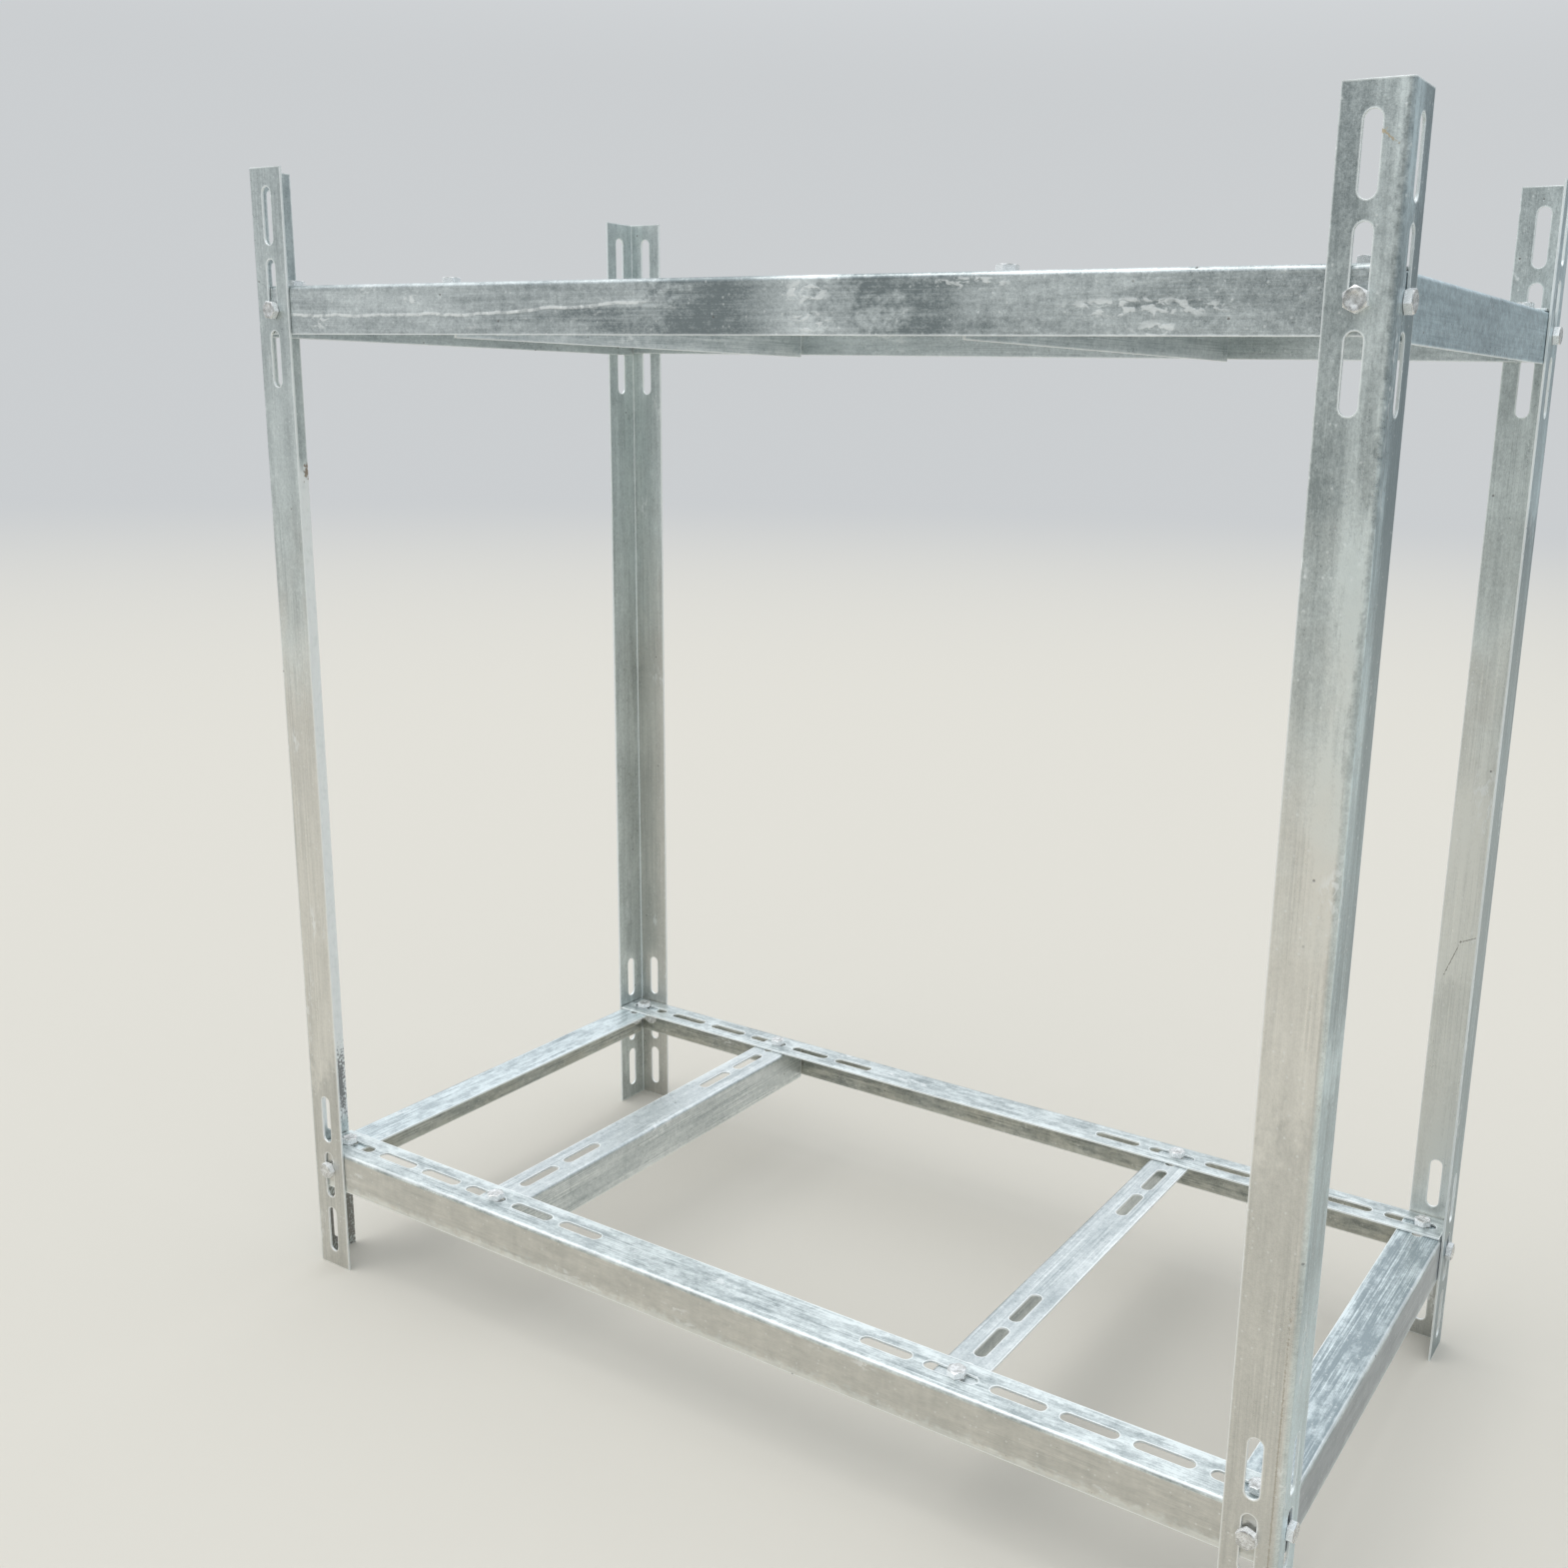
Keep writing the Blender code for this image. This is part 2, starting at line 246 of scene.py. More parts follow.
# Zinc: noises, with their stretch across and along, scale, detail, roughness and distortion
strip_noises = {
    "cloud": ((1, 0.6), 22, 2),
    "ribbon": ((1, 0.07), 120, 3, 0.6),
    "mottle": ((1, 0.75), 150, 2, 0.6),
    "fine": ((1, 0.8), 420, 2, 0.7),
    "grain": ((1, 1), 1000, 1),
    "streak": ((1, 0.010), 560, 3, 0.7),
    "streak_area": ((1, 0.35), 26, 1),
    "blotch": ((1, 0.28), 115, 3, 0.65),
    "cross_band": ((0.12, 1), 42, 3, 0.7),
    "blob": ((1, 0.5), 210, 2, 0.6, 0.4),
    "splash_area": ((1, 0.28), 34, 2),
    "wave": ((0, 1), 24, 3, 0.55),
}
main_noises = ("cloud", "ribbon", "mottle", "fine", "grain")
speck_scale = 190
pit_scale = 46

# Zinc: how far each piece, and the inner skin, is moved in the noises
seed_step = 3.7
seed_across = 1.31
seed_along = 0.77
skin_step = 7

# Zinc: shares of the noises and masks in each property
texture_shares = {"cloud": 0.55, "ribbon": 0.65, "mottle": 0.45, "fine": 0.55, "grain": 0.40}
# white shares: splashes and specks are white zinc; the rims share is a painted highlight along edges and slots;
# the heel share is zinc pooling in the inner corner and, on rails, a painted highlight along the outer heel
white_shares = {"splash": 0.55, "speck": 0.38, "rim": 0.65, "heel_zinc_and_highlight": 0.45}
metallic_shares = {"white": -0.45, "scar": -0.6}
roughness_shares = {"cloud": 0.12, "mottle": 0.14, "fine": 0.14, "grain": 0.10, "streak": -0.30, "white": 0.20}
bump_shares = {"mottle": 0.6, "fine": 0.35, "grain": 0.2, "streak": 0.5, "white": 0.5, "pit": -1.0}
clean_metallic = 0.85
clean_roughness = 0.11
zinc_bump = 0.5

# Zinc: strengths
middle_level = 0.5
streak_strength = 1.9
quiet_streaks = 0.2
# painted highlight along the rims of edges and slots
rim_strength = 0.35
drip_white = 0.70
thin_drip = 0.45
pit_strength = 0.75
mark_strength = 0.85
face_calm = 0.72
face_streak_calm = 0.75
stain_calm = 0.45
cross_band_strength = 0.30
blotch_tones = (-0.22, 0.17)
rail_edge_stain = 0.65
band_by_ribbon = (1.6, 0.2)
bloom_by_mottle = (0.9, 0.55)
# how the cloud noise varies the painted shade inside rails
inner_shade_by_cloud = (0.8, 0.45)

# Zinc: how far the noises move the edges of each mask
patch_wander = {"mottle": 0.04, "cloud": 0.10}
stain_wander = {"cloud": 0.30}
dust_wander = {"mottle": 0.02}
edge_wander = {"mottle": 0.006, "ribbon": 0.006}
band_wander = {"ribbon": 0.012, "mottle": 0.008}
mark_wander = {"fine": 2.4}
drip_wave = 0.006

# Zinc: where each mask begins and ends, in metres on the strip
outer_skin = (0.0006, 0.0014)
heel_line = (0.0005, 0.0014)
face_start = (0.0016, 0.0036)
upright_start = (0.002, 0.006)
stain_start = (0.0, 0.003)
stain_fade = (0.50, 0.82)
dust_fade = (0.030, 0.037)
edge_start = (0.031, 0.036)
band_rise = (-0.002, 0.005)
band_fall = (0.015, 0.024)
band_fade = 0.3
patch_fade = 0.04
patch_side_fade = 0.002
bloom_fade = 0.015
drip_width = (0.0005, 0.0018)
drip_fade = (0.03, 0.07)

# Zinc: where each mask begins and ends, in values of a noise, a cell or a shape
streak_area = (0.38, 0.60)
blotch_area = (0.34, 0.64)
blob_edge = (0.49, 0.60)
splash_area = (0.66, 0.80)
splash_growth = 0.10
spot_edge = (0.3, 1.1)
speck_size = (0.06, 0.24)
speck_choice = (0.74, 0.84)
pit_size = (0.025, 0.055)
pit_choice = (0.85, 0.88)
drip_gaps = (0.38, 0.52)
mark_edge = (0.5, 1.1)

# Bolts: noises, by scale, detail, roughness and distortion, and how far they lie apart
bolt_mottle = (260, 2, 0.55, 0.3)
bolt_grain = (1300, 1, 0.5, 0)
bolt_spread = 7

# Bolts: darkest and lightest colour, and where the pressed face begins, from the head's height
bolt_tones = ((0.38, 0.375, 0.355), (0.95, 0.96, 0.96))
pressed_edge = (-0.0005, 0.0001)

# Bolts: grey levels and roughness, as shares of mottle and grain and a constant
pressed_level = (1.9, 0.5, -0.70)
plain_level = (0.5, 0.2, 0.60)
bolt_roughness = (0.25, 0.12, 0.08)

# Bolts: what the pressed face adds, and what the rest has
bolt_metallic = (0.50, 0.30)
bolt_relief = (0.8, 0.2)

# Bolts: shares of relief and grain in the height
bolt_height = (0.9, 0.08)
bolt_bump = 0.4

# Sockets of the mix node that are for colours
mix_inputs = (6, 7)
mix_output = 2

bump_distance = 0.0004
angles = []


def linked(name, data):
    """New object in the scene."""
    item = bpy.data.objects.new(name, data)
    bpy.context.scene.collection.objects.link(item)
    return item


def mesh_of(shape, name):
    """Mesh of a finished bmesh."""
    mesh = bpy.data.meshes.new(name)
    shape.to_mesh(mesh)
    shape.free()
    return mesh


def evaluated_mesh(item):
    """Mesh of an object with its curve filled or its modifiers applied."""
    bpy.context.view_layer.update()
    return bpy.data.meshes.new_from_object(item.evaluated_get(bpy.context.evaluated_depsgraph_get()))


def arc(centre, radius, start, end, steps):
    points = []
    for step in range(steps + 1):
        angle = start + (end - start) * step / steps
        points.append((centre[0] + radius * math.cos(angle), centre[1] + radius * math.sin(angle)))
    return points


def slot_outline(across, along, length, width):
    """Round-ended slot, its length along Y."""
    reach = (length - width) / 2
    far = arc((across, along + reach), width / 2, 0, math.pi, slot_end_steps)
    near = arc((across, along - reach), width / 2, math.pi, 2 * math.pi, slot_end_steps)
    return far + near


def hole_outline(across, along, diameter):
    return arc((across, along), diameter / 2, 0, 2 * math.pi, hole_steps)[:-1]


def rounded_plate(outlines, thickness, rounding):
    """Flat plate with holes: the first outline is its edge, and every edge is rounded over."""
    curve = bpy.data.curves.new("plate", "CURVE")
    curve.dimensions = "2D"
    curve.fill_mode = "BOTH"
    curve.extrude = thickness / 2 - rounding
    curve.bevel_depth = rounding
    curve.bevel_resolution = 1
    curve.offset = -rounding
    for outline in outlines:
        spline = curve.splines.new("POLY")
        spline.points.add(len(outline) - 1)
        for point, (x, y) in zip(spline.points, outline):
            point.co = (x, y, 0, 1)
        spline.use_cyclic_u = True
    holder = linked("plate", curve)
    mesh = evaluated_mesh(holder)
    bpy.data.objects.remove(holder, do_unlink=True)
    return mesh


def strip_place(flange, name, distance):
    """Where a distance from the heel lies across the flat strip that the angle is bent from."""
    if name == "x":
        return flange - distance
    flat = flange - outer_radius
    return flat + bend_length + distance - outer_radius


def bend_point(point, flange):
    """Place on the angle of a point of the flat strip."""
    flat = flange - outer_radius
    depth = point.z + steel / 2
    if point.x <= flat:
        return Vector((flange - point.x, depth, point.y))
    if point.x >= flat + bend_length:
        return Vector((depth, outer_radius + point.x - flat - bend_length, point.y))
    turn = (point.x - flat) / bend_length * math.pi / 2
    radius = outer_radius - depth
    return Vector((outer_radius - radius * math.sin(turn), outer_radius - radius * math.cos(turn), point.y))


def mark_rims(shape):
    """Narrow ring of faces along every edge and slot, with the value rim falling from 1 to 0 across it, which
    masks a painted highlight along the edges.
    """
    rim = shape.verts.layers.float.new("rim")
    for vert in shape.verts:
        vert[rim] = 1
    for side in (-1, 1):
        skin = side * steel / 2
        flat_faces = [face for face in shape.faces if all(abs(v.co.z - skin) < weld_distance for v in face.verts)]
        bmesh.ops.inset_region(
            shape, faces=flat_faces, thickness=rim_width, use_even_offset=True, use_boundary=True
        )
        inner = set(flat_faces)
        lines = {edge for face in flat_faces for edge in face.edges}
        outline = [edge for edge in lines if any(face not in inner for face in edge.link_faces)]
        for edge in outline:
            for vert in edge.verts:
                vert[rim] = 0
        bmesh.ops.delete(shape, geom=flat_faces, context="FACES_ONLY")
        bmesh.ops.delete(shape, geom=list(lines.difference(outline)), context="EDGES")
        bmesh.ops.triangle_fill(shape, use_beauty=True, edges=outline, normal=(0, 0, side))


def angle_mesh(name, length, flange, x_cuts, y_cuts):
    """Slotted strip with rounded edges, bent to an angle: heel along Z, flanges along +X and +Y.

    The attribute strip keeps each point's place on the flat strip: across it from the heel, down
    from its outer skin, and along it.
    """
    flat = flange - outer_radius
    width = 2 * flat + bend_length
    outlines = [[(0, 0), (width, 0), (width, length), (0, length)]]
    for flange_name, cuts in (("x", x_cuts), ("y", y_cuts)):
        for line, start, end, cut_width in cuts:
            across = strip_place(flange, flange_name, line)
            if end - start > cut_width:
                outlines.append(slot_outline(across, (start + end) / 2, end - start, cut_width))
            else:
                outlines.append(hole_outline(across, (start + end) / 2, cut_width))
    mesh = rounded_plate(outlines, steel, edge_round)
    shape = bmesh.new()
    shape.from_mesh(mesh)
    bmesh.ops.remove_doubles(shape, verts=shape.verts, dist=weld_distance)
    mark_rims(shape)
    lines = [flat + bend_length * step / bend_steps for step in range(bend_steps + 1)]
    for line in [flat - bend_guard] + lines + [flat + bend_length + bend_guard]:
        geometry = shape.verts[:] + shape.edges[:] + shape.faces[:]
        place = Vector((line, 0, 0))
        bmesh.ops.bisect_plane(shape, geom=geometry, dist=cut_distance, plane_co=place, plane_no=(1, 0, 0))
    strip = shape.verts.layers.float_vector.new("strip")
    for vert in shape.verts:
        vert[strip] = (vert.co.x - flat - bend_length / 2, vert.co.z + steel / 2, vert.co.y)
        vert.co = bend_point(vert.co, flange)
    bmesh.ops.recalc_face_normals(shape, faces=shape.faces)
    shape.to_mesh(mesh)
    shape.free()
    mesh.shade_smooth()
    mesh.set_sharp_from_angle(angle=math.radians(angle_crease))
    mesh.name = name
    return mesh


def spans(length, margin, count, first_length, first_step):
    """Slots from both ends of a piece: start and end of each along it."""
    near = []
    start = margin
    for number in range(count):
        size = first_length if number == 0 else slot_length
        near.append((start, start + size))
        start += first_step if number == 0 else slot_pitch
    return near + [(length - end, length - start) for start, end in near]


def slot_cuts(places):
    return [(slot_line, start, end, slot_width) for start, end in places]


def hole_cuts(length, place, line):
    radius = bolt_hole / 2
    return [(line, middle - radius, middle + radius, bolt_hole) for middle in (place, length - place)]


def node_box(node):
    """Lowest and highest corners of a node, and its size."""
    low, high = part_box(node)
    return low, high, [high[axis] - low[axis] for axis in range(3)]


def basis(x_axis, y_axis, origin):
    """Place with these directions for its X and Y."""
    x_axis = Vector(x_axis)
    y_axis = Vector(y_axis)
    matrix = Matrix((x_axis, y_axis, x_axis.cross(y_axis))).transposed().to_4x4()
    matrix.translation = Vector(origin)
    return matrix


def add_piece(name, mesh, matrix, node):
    """Piece that stands for a node of the frame."""
    piece = linked(name, mesh)
    piece.matrix_world = matrix
    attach(piece, "root")
    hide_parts(node)
    return piece


def add_angle(node, length, flange, x_cuts, y_cuts, matrix, material):
    """Slotted angle in the place of a node, with a number and a tone of its own for its zinc."""
    name = f"{node}_steel"
    mesh = angle_mesh(name, length, flange, x_cuts, y_cuts)
    mesh.materials.clear()
    mesh.materials.append(material)
    for key, value in (("seed", len(angles) * seed_step), ("tone", piece_tones.get(name, 0))):
        layer = mesh.attributes.new(key, "FLOAT", "POINT")
        layer.data.foreach_set("value", [value] * len(mesh.vertices))
    piece = add_piece(name, mesh, matrix, node)
    flat_normals = piece.modifiers.new("flat_faces", "WEIGHTED_NORMAL")
    flat_normals.keep_sharp = True
    angles.append(piece)


def add_leg(side, end, material):
    node = f"leg_{end_names[end]}_{side_names[side]}"
    low, high, (flange, _, length) = node_box(node)
    cuts = slot_cuts(spans(length, leg_margin, leg_slots, slot_length, slot_pitch))
    corner = (high[0] if side == right else low[0], high[1] if end == rear else low[1], low[2])
    matrix = Matrix.Translation(corner) @ Matrix.Rotation(math.radians(leg_turns[side, end]), 4, "Z")
    add_angle(node, length, flange, cuts, cuts, matrix, material)


def add_long_rail(level, end, material):
    node = f"{level}_rail_{end_names[end]}"
    low, high, (length, flange, _) = node_box(node)
    places = spans(length, long_rail_margin, long_rail_slots, slot_length, slot_pitch)
    holes = hole_cuts(length, long_rail_hole_place, long_rail_hole_line)
    face = high[1] if end == rear else low[1]
    start = low[0] if end == rear else high[0]
    matrix = basis((0, -end, 0), (0, 0, -1), (start, face, high[2]))
    add_angle(node, length, flange, slot_cuts(places), holes, matrix, material)


def add_side_rail(level, side, material):
    node = f"{level}_side_rail_{side_names[side]}"
    low, high, (flange, length, _) = node_box(node)
    places = spans(length, short_slot_margin, side_rail_slots, short_slot_length, short_slot_step)
    holes = hole_cuts(length, side_rail_hole_place, side_rail_hole_line)
    face = high[0] if side == right else low[0]
    start = high[1] if side == right else low[1]
    matrix = basis((-side, 0, 0), (0, 0, -1), (face, start, high[2]))
    add_angle(node, length, flange, slot_cuts(places), holes, matrix, material)


def add_cross_member(level, side, material):
    node = f"{level}_cross_member_{side_names[side]}"
    low, high, (flange, length, _) = node_box(node)
    places = spans(length, short_slot_margin, cross_slots, short_slot_length, short_slot_step)
    heel = low[0] if side == right else high[0]
    start = low[1] if side == right else high[1]
    matrix = basis((side, 0, 0), (0, 0, -1), (heel, start, high[2]))
    add_angle(node, length, flange, slot_cuts(places), [], matrix, material)


def lathe_mesh(profile, steps):
    """Closed body of revolution about Z from a profile of radius and height, top to bottom."""
    shape = bmesh.new()
    rings = []
    for radius, height in profile:
        if radius == 0:
            rings.append([shape.verts.new((0, 0, height))])
            continue
        ring = []
        for step in range(steps):
            turn = 2 * math.pi * step / steps
            ring.append(shape.verts.new((radius * math.cos(turn), radius * math.sin(turn), height)))
        rings.append(ring)
    for upper, lower in zip(rings, rings[1:]):
        for step in range(steps):
            after = (step + 1) % steps
            corners = []
            for ring, place in ((upper, step), (lower, step), (lower, after), (upper, after)):
                vert = ring[place % len(ring)]
                if vert not in corners:
                    corners.append(vert)
            shape.faces.new(corners)
    bmesh.ops.recalc_face_normals(shape, faces=shape.faces)
    return mesh_of(shape, "turned")


def boolean(mesh, tool_mesh, operation):
    body = linked("body", mesh)
    tool = linked("tool", tool_mesh)
    modifier = body.modifiers.new("cut", "BOOLEAN")
    modifier.operation = operation
    modifier.solver = "EXACT"
    modifier.object = tool
    result = evaluated_mesh(body)
    for item in (body, tool):
        bpy.data.objects.remove(item, do_unlink=True)
    return result


def chamfered_hexagon(height, bore):
    """Hexagon standing on the XY plane, its rims turned off: a nut with its bore, or a dished head."""
    hexagon = bmesh.new()
    bmesh.ops.create_cone(
        hexagon, cap_ends=True, segments=6, radius1=corner_radius, radius2=corner_radius, depth=height,
        matrix=Matrix.Translation((0, 0, height / 2)),
    )
    flat = across_flats / 2 * face_share
    drop = (corner_radius - flat) * math.tan(math.radians(chamfer_angle)) * beyond_drop
    wide = corner_radius * beyond_corner
    if bore:
        profile = [(0, height), (flat, height), (wide, height - drop), (wide, drop), (flat, 0), (0, 0)]
    else:
        dish = across_flats * dish_share
        bottom = height - dish_depth
        profile = [(0, bottom), (dish * dish_floor, bottom), (dish, height), (flat, height), (wide, height - drop),
                   (wide, 0), (0, 0)]
    body = boolean(mesh_of(hexagon, "hexagon"), lathe_mesh(profile, turned_steps), "INTERSECT")
    if bore:
        mouth = bore + bore_chamfer + cut_beyond
        hole = [(0, height + cut_beyond), (mouth, height + cut_beyond), (bore, height - bore_chamfer),
                (bore, bore_chamfer), (mouth, -cut_beyond), (0, -cut_beyond)]
        body = boolean(body, lathe_mesh(hole, bore_steps), "DIFFERENCE")
    return body


def threaded_shank():
    """Full-thread shank hanging from the XY plane, its ridge a helix, its tip chamfered."""
    shape = bmesh.new()
    rows = []
    count = round(bolt_length / thread_pitch * rows_per_thread)
    for row in range(count + 1):
        drop = bolt_length * row / count
        ring = []
        for column in range(thread_columns):
            turn = column / thread_columns
            phase = (drop / thread_pitch + turn) % 1
            ridge = abs(2 * phase - 1)
            radius = thread_radius - thread_depth * min(1, thread_slope * ridge)
            radius = min(radius, thread_radius - tip_chamfer + (bolt_length - drop))
            angle = 2 * math.pi * turn
            ring.append(shape.verts.new((radius * math.cos(angle), radius * math.sin(angle), -drop)))
        rows.append(ring)
    for upper, lower in zip(rows, rows[1:]):
        for column in range(thread_columns):
            after = (column + 1) % thread_columns
            shape.faces.new((upper[column], lower[column], lower[after], upper[after]))
    shape.faces.new(rows[0])
    shape.faces.new(list(reversed(rows[-1])))
    bmesh.ops.recalc_face_normals(shape, faces=shape.faces)
    return mesh_of(shape, "shank")


def fastener_mesh():
    """Bolt with its nut run up: the outer steel face is the XY plane, the head is above it."""
    parts = (
        (chamfered_hexagon(head_height, 0), seat_gap),
        (threaded_shank(), seat_gap),
        (chamfered_hexagon(nut_height, thread_radius + bore_gap), -grip - seat_gap - nut_height),
    )
    shape = bmesh.new()
    for mesh, rise in parts:
        mesh.transform(Matrix.Translation((0, 0, rise)))
        shape.from_mesh(mesh)
    whole = mesh_of(shape, "bolt_and_nut")
    whole.shade_smooth()
    whole.set_sharp_from_angle(angle=math.radians(bolt_crease))
    return whole


def hexagon_turn(node_object, matrix):
    """Angle from local Y to a corner of the node's hexagon, about its bolt's axis."""
    inverse = matrix.inverted()
    points = (inverse @ vert.co for vert in node_object.data.vertices)
    corner = max(points, key=lambda point: round(point.x ** 2 + point.y ** 2, reach_digits))
    return math.atan2(corner.y, corner.x) - math.pi / 2


def add_bolt(node, outward, mesh):
    """Detailed bolt and nut in the place of a node, turned as the node's hexagon is."""
    low, high, size = node_box(node)
    axis = Vector(outward)
    reach = max(size[i] for i in range(3) if axis[i])
    matrix = axis.to_track_quat("Z", "Y").to_matrix().to_4x4()
    matrix.translation = (Vector(low) + Vector(high)) / 2 + axis * (reach / 2 - head_height - seat_gap)
    turn = hexagon_turn(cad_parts[node], matrix)
    add_piece(f"{node}_set", mesh, matrix @ Matrix.Rotation(turn, 4, "Z"), node)


class Nodes:
    """Short hand for the nodes of one tree."""

    def __init__(self, tree):
        self.tree = tree

    def add(self, kind, **settings):
        node = self.tree.nodes.new(kind)
        for key, value in settings.items():
            setattr(node, key, value)
        return node

    def put(self, socket, value):
        """Links a socket to the one that feeds it, or sets its own value."""
        if isinstance(value, bpy.types.NodeSocket):
            self.tree.links.new(value, socket)
        elif value is not None:
            socket.default_value = value

    def feed(self, node, *values):
        """Gives a node's inputs what feeds them, in their order."""
        for socket, value in zip(node.inputs, values):
            self.put(socket, value)

    def feed_named(self, node, values):
        """Gives a node's inputs what feeds them, by their names."""
        for name, value in values.items():
            self.put(node.inputs[name], value)

    def math(self, operation, first, second=None, third=None, clamp=False):
        node = self.add("ShaderNodeMath", operation=operation, use_clamp=clamp)
        self.feed(node, first, second, third)
        return node.outputs[0]

    def linear(self, value, factor, constant):
        return self.math("MULTIPLY_ADD", value, factor, constant)

    def product(self, first, *others):
        for other in others:
            first = self.math("MULTIPLY", first, other)
        return first

    def total(self, *terms):
        """Sum of terms, each a value with its factor."""
        (value, factor), *others = terms
        result = self.math("MULTIPLY", value, factor)
        for value, factor in others:
            result = self.linear(value, factor, result)
        return result

    def centred(self, noise):
        return self.math("SUBTRACT", noise, 0.5)

    def ramp(self, value, low, high, out_low=0, out_high=1):
        """Smooth step of a value between two limits."""
        node = self.add("ShaderNodeMapRange", interpolation_type="SMOOTHSTEP")
        self.feed(node, value, low, high, out_low, out_high)
        return node.outputs[0]

    def fall(self, value, low, high):
        """Smooth step down, from 1 to 0."""
        return self.ramp(value, low, high, 1, 0)

    def window(self, value, rise_start, rise_end, fall_start, fall_end):
        """Rises to 1 and falls back to 0."""
        return self.math("MINIMUM", self.ramp(value, rise_start, rise_end), self.fall(value, fall_start, fall_end))

    def vector_math(self, operation, first, second=None, output="Vector"):
        node = self.add("ShaderNodeVectorMath", operation=operation)
        self.feed(node, first, second)
        return node.outputs[output]

    def parts(self, vector):
        node = self.add("ShaderNodeSeparateXYZ")
        self.feed(node, vector)
        return node.outputs

    def place(self, output):
        return self.add("ShaderNodeTexCoord").outputs[output]

    def noise(self, vector, scale, detail=3, roughness=0.55, distortion=0, dimensions="2D"):
        node = self.add("ShaderNodeTexNoise", noise_dimensions=dimensions)
        self.feed_named(node, {"Vector": vector, "Scale": scale, "Detail": detail, "Roughness": roughness,
                               "Distortion": distortion})
        return node.outputs["Fac"]

    def mix(self, factor, first, second, blend="MIX"):
        """Mix of two colours, each a colour or a socket."""
        node = self.add("ShaderNodeMix", data_type="RGBA", blend_type=blend)
        self.feed(node, factor)
        for number, colour in zip(mix_inputs, (first, second)):
            self.put(node.inputs[number], (*colour, 1) if isinstance(colour, tuple) else colour)
        return node.outputs[mix_output]

    def backdrop(self, direction):
        """How far a direction points to the backdrop."""
        towards = self.vector_math("DOT_PRODUCT", direction, backdrop_direction, "Value")
        return self.ramp(towards, *backdrop_edge)


class Surface(Nodes):
    """Nodes of a new material round its shader."""

    def __init__(self, name):
        self.material = bpy.data.materials.new(name)
        self.material.use_nodes = True
        super().__init__(self.material.node_tree)
        self.shader = self.tree.nodes["Principled BSDF"]

    def finish(self, colour, metallic, roughness, height, bump_strength):
        """Feeds the shader."""
        bump = self.add("ShaderNodeBump")
        self.feed_named(bump, {"Strength": bump_strength, "Distance": bump_distance, "Height": height})
        self.feed_named(self.shader, {"Base Color": colour, "Metallic": metallic, "Roughness": roughness,
                                      "Normal": bump.outputs[0]})
        return self.material


